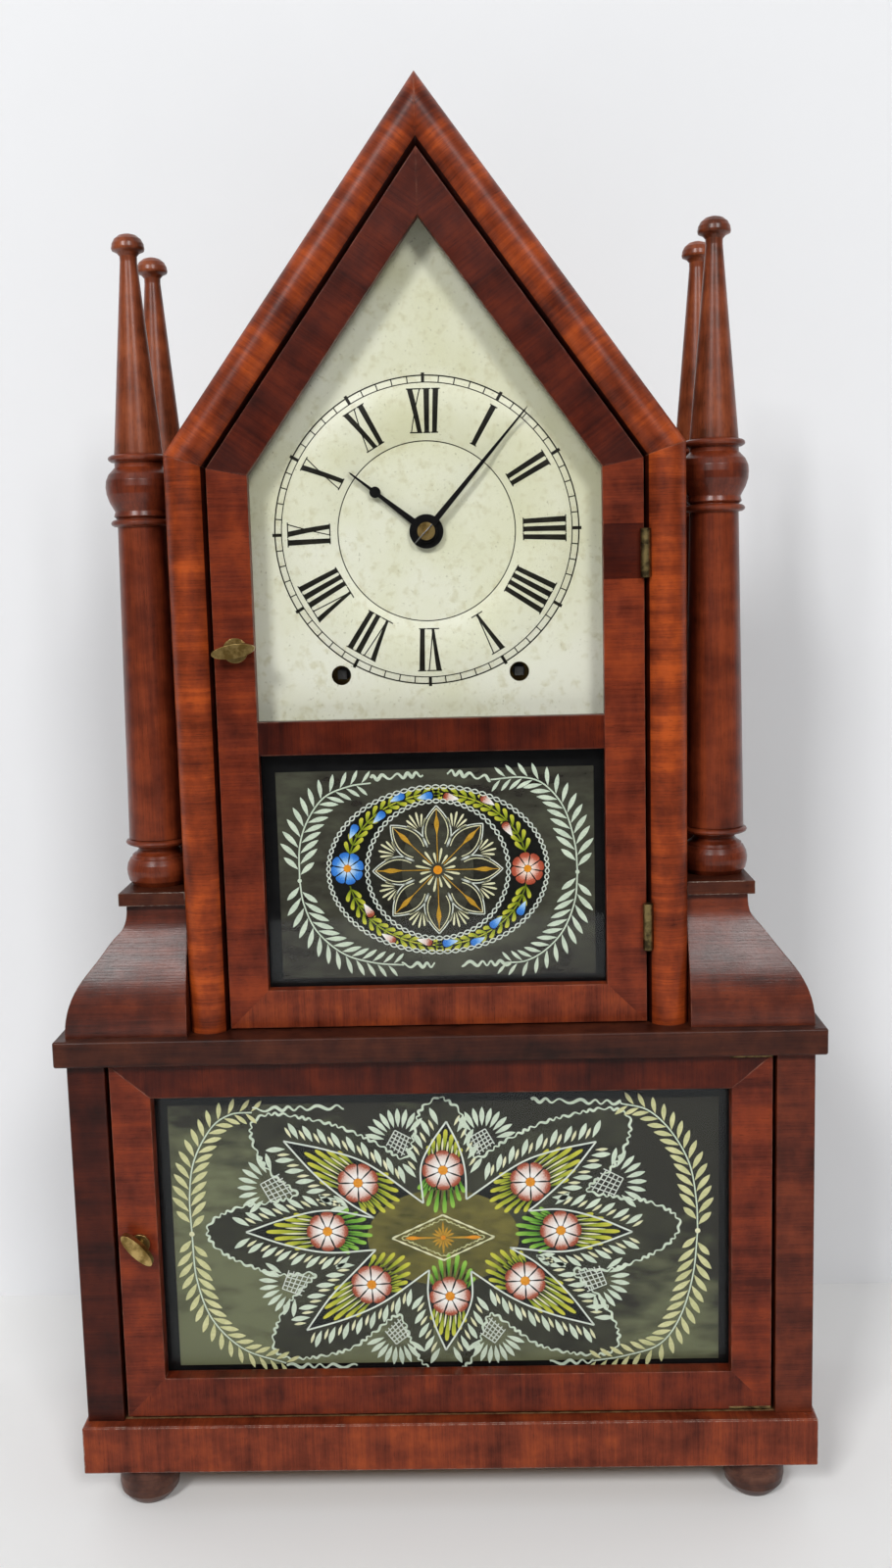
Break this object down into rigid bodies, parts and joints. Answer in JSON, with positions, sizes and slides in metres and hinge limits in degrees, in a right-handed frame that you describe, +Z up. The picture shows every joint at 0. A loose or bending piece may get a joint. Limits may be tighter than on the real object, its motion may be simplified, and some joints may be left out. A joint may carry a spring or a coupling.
{
  "type": "steeple clock",
  "caption": "Two-tier pointed shelf clock in mahogany with turned steeple columns, two doors with decorated glass, painted dial, striking movement and pendulum.",
  "frame": {"origin": "on the surface the clock stands on, under the middle of its footprint", "axes": "+Z up, -Y is the front with the doors and dial, +X to the right as seen from the front"},
  "size_m": [0.3632, 0.1432, 0.673],
  "materials": {
    "mahogany_veneer": "figured mahogany veneer, satin shellac",
    "turned_mahogany": "turned mahogany, satin shellac",
    "pine": "aged planed pine",
    "brass": "aged brass",
    "steel": "polished steel",
    "blued_steel": "blued steel wire",
    "iron": "black iron",
    "black_paint": "black painted steel",
    "dial_paint": "cream painted zinc with black numerals",
    "clear_glass": "old clear window glass",
    "painted_glass": "reverse painted glass",
    "gut": "twisted gut cord"
  },
  "bodies": {
    "case": {"back_plate": "brass", "base_board": "pine", "base_mouldings": "mahogany_veneer", "bun_feet": "turned_mahogany", "case_hinges": "brass", "column_shelves": "mahogany_veneer", "columns": "turned_mahogany", "cornice_board": "mahogany_veneer", "dial": "dial_paint", "dial_cleats": "pine", "drive_cords": "gut", "front_plate": "brass", "gong": "blued_steel", "gong_block": "iron", "leaf_spring": "blued_steel", "lower_back_board": "pine", "lower_sides": "mahogany_veneer", "lower_stiles": "mahogany_veneer", "movement_blocks": "pine", "ogee_shoulders": "mahogany_veneer", "plate_pillars": "brass", "roof_boards": "mahogany_veneer", "roof_mouldings": "mahogany_veneer", "spring_bracket": "iron", "spring_levers": "iron", "steeple_finials": "turned_mahogany", "stile_mouldings": "mahogany_veneer", "suspension_cock": "brass", "upper_back_board": "pine", "upper_sides": "mahogany_veneer"},
    "upper_door": {"upper_door_frame": "mahogany_veneer", "upper_glass": "clear_glass", "middle_tablet": "painted_glass", "door_hinges": "brass"},
    "upper_latch": {"upper_latch": "brass"},
    "lower_door": {"lower_door_frame": "mahogany_veneer", "lower_tablet": "painted_glass", "lower_door_pivots": "brass"},
    "lower_latch": {"lower_latch": "brass"},
    "minute_hand": {"minute_hand": "black_paint", "hand_collet": "brass"},
    "hour_hand": {"hour_hand": "black_paint", "hour_wheel": "brass"},
    "minute_wheel": {"minute_wheel": "brass"},
    "time_great_wheel": {"time_great_wheel": "brass"},
    "time_drum": {"time_drum": "steel"},
    "time_second_wheel": {"time_second_wheel": "brass"},
    "centre_wheel": {"centre_wheel": "brass"},
    "third_wheel": {"third_wheel": "brass"},
    "escape_wheel": {"escape_wheel": "brass"},
    "verge": {"verge": "steel"},
    "pendulum": {"pendulum_rod": "steel", "pendulum_bob": "brass"},
    "strike_great_wheel": {"strike_great_wheel": "brass"},
    "strike_drum": {"strike_drum": "steel"},
    "strike_second_wheel": {"strike_second_wheel": "brass"},
    "warning_wheel": {"warning_wheel": "brass"},
    "fly": {"fly": "brass"},
    "hammer": {"hammer": "blued_steel"}
  },
  "joints": [
    {"name": "upper_door_hinge", "type": "hinge", "parent": "case", "child": "upper_door", "pos_m": [0.0995, -0.0566, 0.4], "axis": [0, 0, 1], "range_deg": [0, 105]},
    {"name": "lower_door_hinge", "type": "hinge", "parent": "case", "child": "lower_door", "pos_m": [0.1525, -0.059, 0.14], "axis": [0, 0, 1], "range_deg": [0, 105]},
    {"name": "upper_latch_turn", "type": "hinge", "parent": "upper_door", "child": "upper_latch", "pos_m": [-0.0891, -0.054, 0.4216], "axis": [0, 1, 0], "range_deg": [-90, 0]},
    {"name": "lower_latch_turn", "type": "hinge", "parent": "lower_door", "child": "lower_latch", "pos_m": [-0.1464, -0.063, 0.1382], "axis": [0, 1, 0], "range_deg": [-90, 0]},
    {"name": "minute_hand_turn", "type": "hinge", "parent": "case", "child": "minute_hand", "pos_m": [0, -0.006, 0.474], "axis": [0, 1, 0], "continuous": true},
    {"name": "hour_hand_turn", "type": "hinge", "parent": "case", "child": "hour_hand", "pos_m": [0, -0.006, 0.474], "axis": [0, 1, 0], "continuous": true},
    {"name": "minute_wheel_turn", "type": "hinge", "parent": "case", "child": "minute_wheel", "pos_m": [0.0178, -0.006, 0.46681], "axis": [0, 1, 0], "continuous": true},
    {"name": "escape_wheel_turn", "type": "hinge", "parent": "case", "child": "escape_wheel", "pos_m": [0, -0.006, 0.50825], "axis": [0, 1, 0], "continuous": true},
    {"name": "third_wheel_turn", "type": "hinge", "parent": "case", "child": "third_wheel", "pos_m": [0.01609, -0.006, 0.49317], "axis": [0, 1, 0], "continuous": true},
    {"name": "centre_wheel_turn", "type": "hinge", "parent": "case", "child": "centre_wheel", "pos_m": [0, -0.006, 0.474], "axis": [0, 1, 0], "continuous": true},
    {"name": "time_second_wheel_turn", "type": "hinge", "parent": "case", "child": "time_second_wheel", "pos_m": [0.02246, -0.006, 0.44518], "axis": [0, 1, 0], "continuous": true},
    {"name": "time_great_wheel_turn", "type": "hinge", "parent": "case", "child": "time_great_wheel", "pos_m": [0.042, -0.006, 0.408], "axis": [0, 1, 0], "continuous": true},
    {"name": "time_winding", "type": "hinge", "parent": "time_great_wheel", "child": "time_drum", "pos_m": [0.042, -0.006, 0.408], "axis": [0, 1, 0], "range_deg": [0, 350]},
    {"name": "pendulum_swing", "type": "hinge", "parent": "case", "child": "pendulum", "pos_m": [0, 0.022, 0.53275], "axis": [0, 1, 0], "range_deg": [-4, 4]},
    {"name": "verge_rock", "type": "hinge", "parent": "case", "child": "verge", "pos_m": [0, -0.006, 0.53275], "axis": [0, 1, 0], "range_deg": [-4.2, 4.2]},
    {"name": "fly_turn", "type": "hinge", "parent": "case", "child": "fly", "pos_m": [-0.03594, -0.006, 0.48938], "axis": [0, 1, 0], "continuous": true},
    {"name": "warning_wheel_turn", "type": "hinge", "parent": "case", "child": "warning_wheel", "pos_m": [-0.03429, -0.006, 0.47055], "axis": [0, 1, 0], "continuous": true},
    {"name": "strike_second_wheel_turn", "type": "hinge", "parent": "case", "child": "strike_second_wheel", "pos_m": [-0.02246, -0.006, 0.44518], "axis": [0, 1, 0], "continuous": true},
    {"name": "strike_great_wheel_turn", "type": "hinge", "parent": "case", "child": "strike_great_wheel", "pos_m": [-0.042, -0.006, 0.408], "axis": [0, 1, 0], "continuous": true},
    {"name": "strike_winding", "type": "hinge", "parent": "strike_great_wheel", "child": "strike_drum", "pos_m": [-0.042, -0.006, 0.408], "axis": [0, 1, 0], "range_deg": [-350, 0]},
    {"name": "hammer_lift", "type": "hinge", "parent": "case", "child": "hammer", "pos_m": [-0.062, 0, 0.5], "axis": [0, 1, 0], "range_deg": [0, 12]}
  ],
  "couplings": [
    {"joint": "hour_hand_turn", "follows": "minute_hand_turn", "ratio": 0.083333},
    {"joint": "minute_wheel_turn", "follows": "minute_hand_turn", "ratio": -0.33333},
    {"joint": "third_wheel_turn", "follows": "escape_wheel_turn", "ratio": -0.125},
    {"joint": "centre_wheel_turn", "follows": "escape_wheel_turn", "ratio": 0.010417},
    {"joint": "time_second_wheel_turn", "follows": "escape_wheel_turn", "ratio": -0.0017361},
    {"joint": "time_great_wheel_turn", "follows": "escape_wheel_turn", "ratio": 0.00028935},
    {"joint": "verge_rock", "follows": "pendulum_swing", "ratio": 1},
    {"joint": "warning_wheel_turn", "follows": "fly_turn", "ratio": -0.125},
    {"joint": "strike_second_wheel_turn", "follows": "fly_turn", "ratio": 0.013889},
    {"joint": "strike_great_wheel_turn", "follows": "fly_turn", "ratio": -0.0023148}
  ]
}
